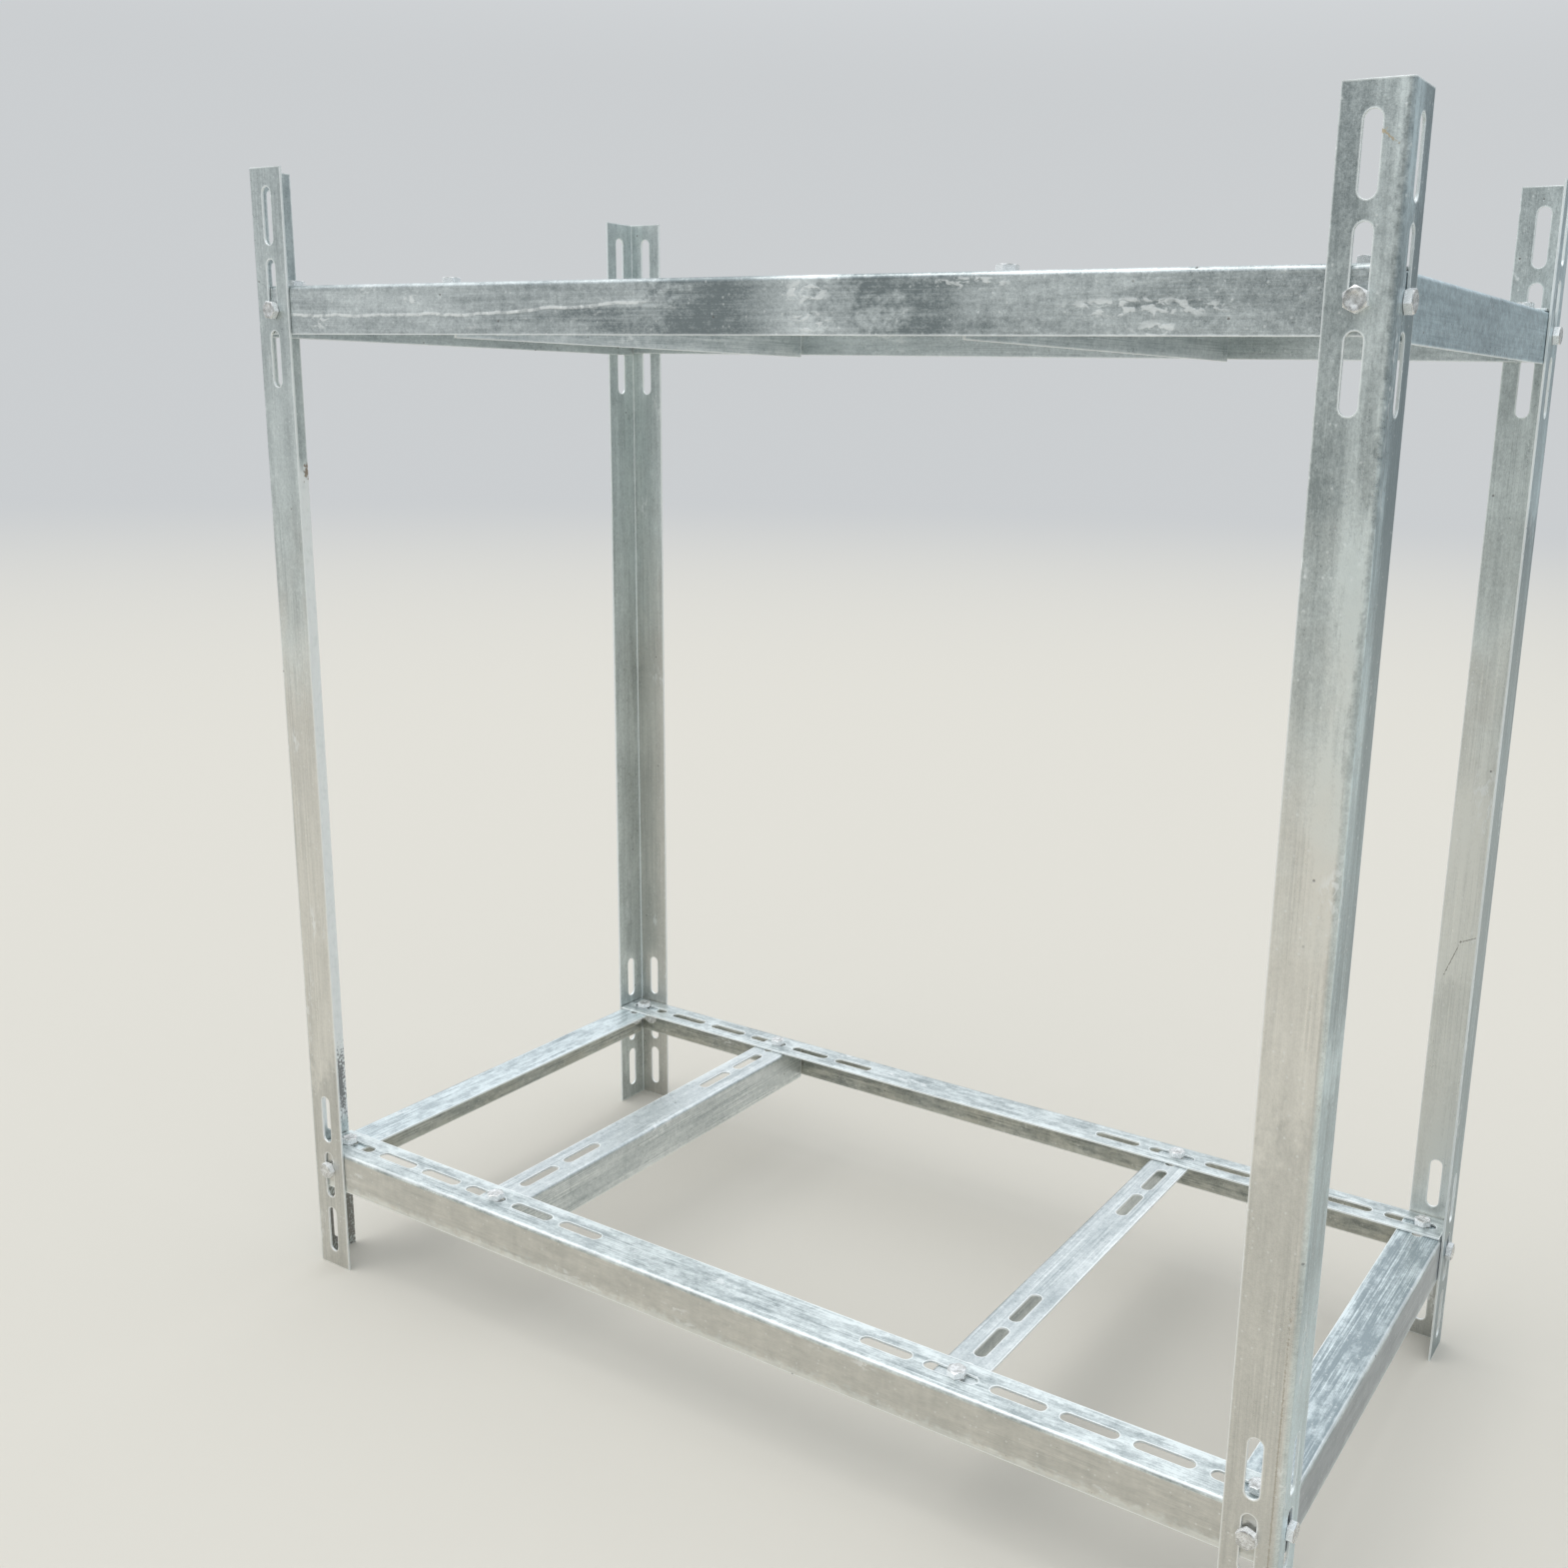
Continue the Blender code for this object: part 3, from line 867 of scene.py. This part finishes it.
class Zinc(Surface):
    """Galvanised steel, laid out on the flat strip that an angle is bent from.

    across is the distance from the heel, negative on the X flange, and along the one from the
    piece's start. masks keeps what has a share in the look: noises, skins, rims and what is added.
    Each piece's seed moves it to a place of its own in the noises.
    """

    def __init__(self, name):
        super().__init__(name)
        self.across, depth, self.along = self.parts(self.attribute("strip", "Vector"))
        seed = self.attribute("seed", "Fac")
        combine = self.add("ShaderNodeCombineXYZ")
        across = self.total((depth, skin_step), (seed, seed_across), (self.across, 1))
        self.feed(combine, across, self.total((seed, seed_along), (self.along, 1)))
        self.strip = combine.outputs[0]
        self.masks = {noise_name: self.strip_noise(noise_name) for noise_name in main_noises}
        self.masks["rim"] = self.attribute("rim", "Fac")
        self.from_heel = self.math("ABSOLUTE", self.across)
        self.outer = self.fall(depth, *outer_skin)
        self.inner = self.math("SUBTRACT", 1, self.outer)

    def attribute(self, name, output):
        return self.add("ShaderNodeAttribute", attribute_name=name).outputs[output]

    def strip_noise(self, name):
        (across, along), *settings = strip_noises[name]
        return self.noise(self.vector_math("MULTIPLY", self.strip, (across, along, 0)), *settings)

    def shared(self, shares):
        """Sum of masks in their shares."""
        return self.total(*((self.masks[name], share) for name, share in shares.items()))

    def moved(self, value, wander):
        """Value moved to both sides by noises, each with its reach."""
        for name, reach in wander.items():
            value = self.linear(self.centred(self.masks[name]), reach, value)
        return value

    def texture(self, mottling):
        """Uneven grey of the zinc, to both sides of zero."""
        shares = {**texture_shares, "mottle": texture_shares["mottle"] * mottling}
        return self.math("SUBTRACT", self.shared(shares), sum(shares.values()) / 2)

    def streaks(self):
        """Fine roll streaks, stronger in some areas."""
        area = self.ramp(self.strip_noise("streak_area"), *streak_area)
        strength = self.linear(area, 1 - quiet_streaks, quiet_streaks)
        return self.product(self.centred(self.strip_noise("streak")), strength)

    def rail_face(self):
        """Mask of the outer skin of a rail's upright flange."""
        return self.product(self.outer, self.ramp(self.across, *face_start))

    def face_texture(self, face, texture):
        """Texture that is blotchy on a rail's top, and calm with faint upright bands on its face."""
        blotches = self.ramp(self.strip_noise("blotch"), *blotch_area, *blotch_tones)
        texture = self.product(self.math("ADD", texture, blotches), self.linear(face, -face_calm, 1))
        bands = self.product(face, self.centred(self.strip_noise("cross_band")))
        return self.linear(bands, cross_band_strength, texture)

    def face_stain(self, face):
        """Mask of the dust on a rail's face, weaker along its lower edge."""
        near_edge = self.moved(self.across, dust_wander)
        return self.product(face, self.ramp(near_edge, *dust_fade, 1, rail_edge_stain))

    def low_stain(self, side, inside):
        """Mask of the stain low on one flange of a leg, on its inner or outer skin."""
        flange = self.ramp(self.product(self.across, side), *stain_start)
        height = self.moved(self.along, stain_wander)
        return self.product(self.inner if inside else self.outer, flange, self.fall(height, *stain_fade))

    def patched(self, level, patches):
        """Level with its stretches of another tone."""
        place = self.moved(self.along, patch_wander)
        for start, end, change, least in patches:
            soft = min(patch_fade, (end - start) / 2)
            inside = self.window(place, start, start + soft, end - soft, end)
            if least:
                flange_place = self.product(self.across, math.copysign(1, least))
                inside = self.product(inside, self.ramp(flange_place, abs(least), abs(least) + patch_side_fade))
            level = self.linear(inside, change, level)
        return level

    def band(self, start):
        """Mask of the lighter band beside the heel, from a place along the piece on."""
        return self.product(
            self.window(self.moved(self.from_heel, band_wander), *band_rise, *band_fall),
            self.ramp(self.along, start, start + band_fade),
            self.linear(self.masks["ribbon"], *band_by_ribbon),
        )

    def edge_stripe(self):
        """Mask of the lighter stripe along both flanges' edges."""
        return self.ramp(self.moved(self.from_heel, edge_wander), *edge_start)

    def offset(self, value, middle, half):
        """Distance from a middle, in half widths."""
        return self.math("DIVIDE", self.math("SUBTRACT", value, middle), half)

    def splashes(self, amount, spots):
        """Mask of white splashes, in some areas and at the given spots."""
        area = self.ramp(self.strip_noise("splash_area"), *(edge - splash_growth * amount for edge in splash_area))
        for across, along, half_across, half_along in spots:
            side_way = self.offset(self.across, across, half_across)
            long_way = self.offset(self.along, along, half_along)
            reach = self.math("ADD", self.product(side_way, side_way), self.product(long_way, long_way))
            area = self.math("MAXIMUM", area, self.product(self.outer, self.fall(reach, *spot_edge)))
        return self.product(self.ramp(self.strip_noise("blob"), *blob_edge), area)

    def dots(self, scale, size, choice):
        """Mask of scattered dots: the size of one in its cell, and which cells have one."""
        node = self.add("ShaderNodeTexVoronoi", voronoi_dimensions="2D")
        self.feed_named(node, {"Vector": self.strip, "Scale": scale})
        return self.product(self.fall(node.outputs["Distance"], *size), self.ramp(node.outputs["Color"], *choice))

    def heel_zinc_and_highlight(self, both_skins):
        """Mask of the white line along the heel: zinc that pools in the inner corner, and where both skins count,
        also a painted highlight along the outer heel.
        """
        line = self.fall(self.from_heel, *heel_line)
        return line if both_skins else self.product(line, self.inner)

    def bloom(self, start, end):
        """Mask of white bloom on the inner skin, between two places along the piece."""
        inside = self.window(self.along, start, start + bloom_fade, end - bloom_fade, end)
        return self.product(inside, self.inner, self.linear(self.masks["mottle"], *bloom_by_mottle))

    def drip(self, far_line, rise, start, settled):
        """Mask of one long wavy run on the outer skin."""
        climb = self.fall(self.along, start, settled)
        line = self.total((climb, -rise), (self.strip_noise("wave"), drip_wave), (self.across, -1))
        beside_run = self.math("ABSOLUTE", self.math("ADD", line, far_line - drip_wave / 2))
        return self.product(
            self.fall(beside_run, *drip_width),
            self.ramp(self.along, *(start + fade for fade in drip_fade)),
            self.ramp(self.masks["mottle"], *drip_gaps, thin_drip, 1),
            self.outer,
        )

    def inner_painted_shade(self):
        """Mask of painted shade on the inner skin of a rail's upright flange: a dark tone that stands in for the
        ground it reflects, uneven with the cloud noise.
        """
        upright = self.product(self.ramp(self.across, *upright_start), self.inner)
        return self.product(upright, self.linear(self.masks["cloud"], *inner_shade_by_cloud))

    def cool_shade_flange(self, side):
        """Mask of the outer skin of the flange that has no stain, where a painted cool shade goes."""
        return self.product(self.ramp(self.product(self.across, -side), *stain_start), self.outer)

    def mark(self, across, along, half_across, half_along, tilt, on_outside):
        """Mask of a small ragged scar."""
        from_middle = self.math("SUBTRACT", self.along, along)
        lean = self.linear(from_middle, -tilt, self.math("SUBTRACT", self.across, across))
        side_way = self.math("ABSOLUTE", self.math("DIVIDE", lean, half_across))
        long_way = self.math("ABSOLUTE", self.math("DIVIDE", from_middle, half_along))
        ragged = self.moved(self.math("MAXIMUM", side_way, long_way), mark_wander)
        return self.product(self.fall(ragged, *mark_edge), self.outer if on_outside else self.inner)


def zinc_look(name, tones, streaks, splashes, mottling=1.0, edges=0, band=None, patches=(), drip=None, spots=(),
              marks=(), bloom=None, stain=None, stain_colour=None, stain_side=1, stain_inside=False):
    """Galvanised steel: mottled zinc with roll streaks, splashes, specks and pits, and painted highlights along
    its rims.

    Tones are its darkest and lightest colour. streaks, splashes, mottling and edges, the stripe
    along the flanges' edges, are strengths. A band has a strength and a start along the piece.
    A stain is dust on the face of a rail, whose upright flange also gets painted shade on its inner skin, or low
    on one flange of a leg, whose other flange gets a painted cool shade on its outer skin.
    """
    zinc = Zinc(name)
    masks = zinc.masks
    texture = zinc.texture(mottling)
    streak = zinc.streaks()
    if stain == "face":
        face = zinc.rail_face()
        texture = zinc.face_texture(face, texture)
        streak = zinc.product(streak, zinc.linear(face, -face_streak_calm, 1))
        stained = zinc.face_stain(face)
    if stain == "low":
        stained = zinc.low_stain(stain_side, stain_inside)
        texture = zinc.product(texture, zinc.linear(stained, -stain_calm, 1))

    # Grey level, from the darkest tone to the lightest
    level = zinc.total((texture, 1), (streak, streak_strength * streaks), (zinc.attribute("tone", "Fac"), 1))
    level = zinc.math("ADD", level, middle_level)
    if patches:
        level = zinc.patched(level, patches)
    if band:
        strength, start = band
        level = zinc.linear(zinc.band(start), strength, level)
    if edges:
        level = zinc.linear(zinc.edge_stripe(), edges, level)
    # Painted highlight along the rims of edges and slots
    level = zinc.linear(masks["rim"], rim_strength, level)

    # White zinc on top of it, with painted highlights along the rims of edges and slots, and on rails along the
    # outer heel
    masks["splash"] = zinc.splashes(splashes, spots)
    masks["speck"] = zinc.dots(speck_scale, speck_size, speck_choice)
    # Zinc pooling in the heel, and on rails a painted highlight along the outer heel
    masks["heel_zinc_and_highlight"] = zinc.heel_zinc_and_highlight(stain == "face")
    white = zinc.shared(white_shares)
    if bloom:
        start, end, strength = bloom
        white = zinc.linear(zinc.bloom(start, end), strength, white)
    if drip:
        white = zinc.linear(zinc.drip(*drip), drip_white, white)
    white = zinc.math("MINIMUM", white, 1)

    # Colour: stain, dust and painted shade under the white, pits and scars over it
    colour = zinc.mix(zinc.math("ADD", level, 0, clamp=True), *tones)
    if stain:
        colour = zinc.mix(stained, colour, stain_colour, "MULTIPLY")
    if stain == "face":
        # Painted shade inside a rail's upright flange
        colour = zinc.mix(zinc.inner_painted_shade(), colour, inner_shade_colour, "MULTIPLY")
    if stain == "low":
        # Painted cool shade on the leg's other flange
        colour = zinc.mix(zinc.cool_shade_flange(stain_side), colour, leg_painted_cool_shade, "MULTIPLY")
    # White zinc and painted highlights over the colour
    colour = zinc.mix(white, colour, white_zinc_and_highlight_colour)
    pit = zinc.dots(pit_scale, pit_size, pit_choice)
    scar = zinc.product(pit, pit_strength)
    colour = zinc.mix(scar, colour, pit_colour)
    for *mark_shape, mark_colour, on_outside in marks:
        mark = zinc.mark(*mark_shape, on_outside)
        colour = zinc.mix(zinc.product(mark, mark_strength), colour, mark_colour)
        scar = zinc.math("MAXIMUM", scar, mark)

    masks.update(streak=streak, white=white, pit=pit, scar=scar)
    metallic = zinc.math("ADD", zinc.shared(metallic_shares), clean_metallic)
    roughness = zinc.math("ADD", zinc.shared(roughness_shares), clean_roughness)
    return zinc.finish(colour, metallic, roughness, zinc.shared(bump_shares), zinc_bump)


def bolt_look():
    """Bright zinc plating with a rough pressed face."""
    nodes = Surface("bolt_plating")
    random = nodes.add("ShaderNodeObjectInfo").outputs["Random"]
    place = nodes.vector_math("ADD", nodes.place("Object"), nodes.math("MULTIPLY", random, bolt_spread))
    mottle = nodes.noise(place, *bolt_mottle, "3D")
    grain = nodes.noise(place, *bolt_grain, "3D")

    def uneven(of_mottle, of_grain, constant, clamp=False):
        return nodes.math("ADD", nodes.total((mottle, of_mottle), (grain, of_grain)), constant, clamp=clamp)

    rise = nodes.parts(nodes.place("Object"))[2]
    pressed = nodes.ramp(rise, *(head_height + edge for edge in pressed_edge))
    plain = uneven(*plain_level, clamp=True)
    level = nodes.linear(pressed, nodes.math("SUBTRACT", uneven(*pressed_level, clamp=True), plain), plain)
    relief = nodes.product(nodes.linear(pressed, *bolt_relief), mottle)
    height = nodes.total(*zip((relief, grain), bolt_height))
    metallic = nodes.linear(pressed, *bolt_metallic)
    return nodes.finish(nodes.mix(level, *bolt_tones), metallic, uneven(*bolt_roughness), height, bolt_bump)


def add_camera():
    """Camera at the photograph's place."""
    camera_data = bpy.data.cameras.new("camera")
    camera_data.sensor_width = sensor_width
    camera_data.lens = sensor_width * focal_pixels / frame_pixels
    camera_data.shift_x = (frame_pixels / 2 - principal_x) / frame_pixels
    camera_data.clip_end = camera_reach
    camera = linked("camera", camera_data)
    matrix = Matrix((camera_right, -camera_down, -camera_forward)).transposed().to_4x4()
    matrix.translation = camera_place
    camera.matrix_world = matrix
    bpy.context.scene.camera = camera


def add_floor():
    """Pale floor that fades into the walls' colours far from the stand."""
    shape = bmesh.new()
    bmesh.ops.create_circle(shape, cap_ends=True, segments=floor_steps, radius=floor_radius)
    floor = linked("floor", mesh_of(shape, "floor"))
    nodes = Surface("floor")
    nodes.feed_named(nodes.shader, {"Base Color": (*floor_colour, 1), "Roughness": floor_roughness,
                                    "Specular IOR Level": floor_specular})
    place = nodes.place("Object")
    fade = nodes.ramp(nodes.vector_math("LENGTH", place, output="Value"), *floor_fade)
    side = nodes.backdrop(nodes.vector_math("NORMALIZE", place))
    glow = nodes.add("ShaderNodeEmission")
    nodes.feed(glow, nodes.mix(side, room_colour, horizon_colour))
    blend = nodes.add("ShaderNodeMixShader")
    nodes.feed(blend, fade, nodes.shader.outputs[0], glow.outputs[0])
    nodes.put(nodes.tree.nodes["Material Output"].inputs["Surface"], blend.outputs[0])
    floor.data.materials.append(nodes.material)


def add_world():
    """Overcast studio: a pale backdrop behind the stand, a dimmer room round it, bright overhead."""
    world = bpy.data.worlds.new("studio")
    bpy.context.scene.world = world
    world.use_nodes = True
    nodes = Nodes(world.node_tree)
    direction = nodes.place("Generated")
    sideways, _, upwards = nodes.parts(direction)
    walls = nodes.mix(nodes.ramp(sideways, *side_edge), room_colour, side_colour)
    horizon = nodes.mix(nodes.backdrop(direction), walls, horizon_colour)
    sky = nodes.mix(nodes.ramp(upwards, *sky_edge), horizon, zenith_colour)
    nodes.feed(world.node_tree.nodes["Background"], sky)


def add_key_light():
    lamp = bpy.data.lights.new("key", "SUN")
    lamp.energy = key_strength
    lamp.angle = math.radians(key_angle)
    lamp.color = key_colour
    holder = linked("key", lamp)
    holder.rotation_euler = Vector(key_direction).to_track_quat("Z", "Y").to_euler()


leg_strengths = {"tones": leg_tones, "streaks": 0.35, "mottling": 0.8, "stain": "low"}
face_dust = {"stain": "face", "edges": 0.25}
leg_looks = {
    (left, front): zinc_look(
        "leg_front_left_look", splashes=0.2, band=(0.10, 0.55), patches=left_leg_patches, marks=left_leg_marks,
        bloom=left_leg_bloom, stain_colour=leg_stain, stain_side=-1, **leg_strengths
    ),
    (right, front): zinc_look(
        "leg_front_right_look", splashes=0.25, band=(0.50, 0.45), patches=right_leg_patches, marks=right_leg_marks,
        stain_colour=leg_stain, **leg_strengths
    ),
    (left, rear): zinc_look(
        "leg_rear_left_look", splashes=0.25, band=(0.15, 0.55), stain_colour=leg_stain, stain_inside=True,
        **leg_strengths
    ),
    (right, rear): zinc_look(
        "leg_rear_right_look", splashes=0.25, band=(0.15, 0.55), patches=rear_right_leg_patches,
        marks=rear_right_leg_marks, stain_colour=rear_leg_stain, stain_side=-1, stain_inside=True, **leg_strengths
    ),
}
upper_look = zinc_look("upper_rail_zinc_look", rail_tones, streaks=0.3, splashes=0.3, mottling=0.8)
upper_front_look = zinc_look(
    "upper_front_zinc_look", upper_front_tones, streaks=0.35, splashes=0.4, mottling=1.1,
    patches=upper_front_patches, drip=upper_front_drip, spots=upper_front_spots
)
upper_side_look = zinc_look(
    "upper_side_zinc_look", upper_side_tones, streaks=0.30, splashes=0.25, mottling=1.8
)
lower_look = zinc_look(
    "lower_rail_zinc_look", rail_tones, streaks=0.95, splashes=0.35, mottling=1.5, stain_colour=face_stain,
    **face_dust
)
lower_side_look = zinc_look(
    "lower_side_zinc_look", lower_side_tones, streaks=1.4, splashes=0.15, mottling=1.4,
    stain_colour=side_face_stain, **face_dust
)
cross_look = zinc_look(
    "cross_zinc_look", cross_tones, streaks=1.0, splashes=0.3, mottling=1.3, edges=0.15
)

for the_end in (front, rear):
    for the_side in (left, right):
        add_leg(the_side, the_end, leg_looks[the_side, the_end])
rail_looks = {("upper", front): upper_front_look, ("upper", rear): upper_look}
side_looks = {("upper", left): upper_look, ("upper", right): upper_side_look}
for the_level in levels:
    for the_end in (front, rear):
        add_long_rail(the_level, the_end, rail_looks.get((the_level, the_end), lower_look))
    for the_side in (left, right):
        add_side_rail(the_level, the_side, side_looks.get((the_level, the_side), lower_side_look))
        add_cross_member(the_level, the_side, cross_look)
bolt_mesh = fastener_mesh()
bolt_mesh.materials.append(bolt_look())
for the_level in levels:
    for the_end in (front, rear):
        for the_side in (left, right):
            corner_name = f"{the_level}_{end_names[the_end]}_{side_names[the_side]}"
            add_bolt(f"{corner_name}_rail_bolt", (0, the_end, 0), bolt_mesh)
            add_bolt(f"{corner_name}_side_bolt", (the_side, 0, 0), bolt_mesh)
            add_bolt(f"{corner_name}_corner_bolt", (0, 0, 1), bolt_mesh)
            cross_name = f"{the_level}_cross_member_{side_names[the_side]}"
            add_bolt(f"{cross_name}_bolt_{end_names[the_end]}", (0, 0, 1), bolt_mesh)
add_camera()
add_floor()
add_world()
add_key_light()
bpy.context.scene.view_settings.view_transform = "Standard"
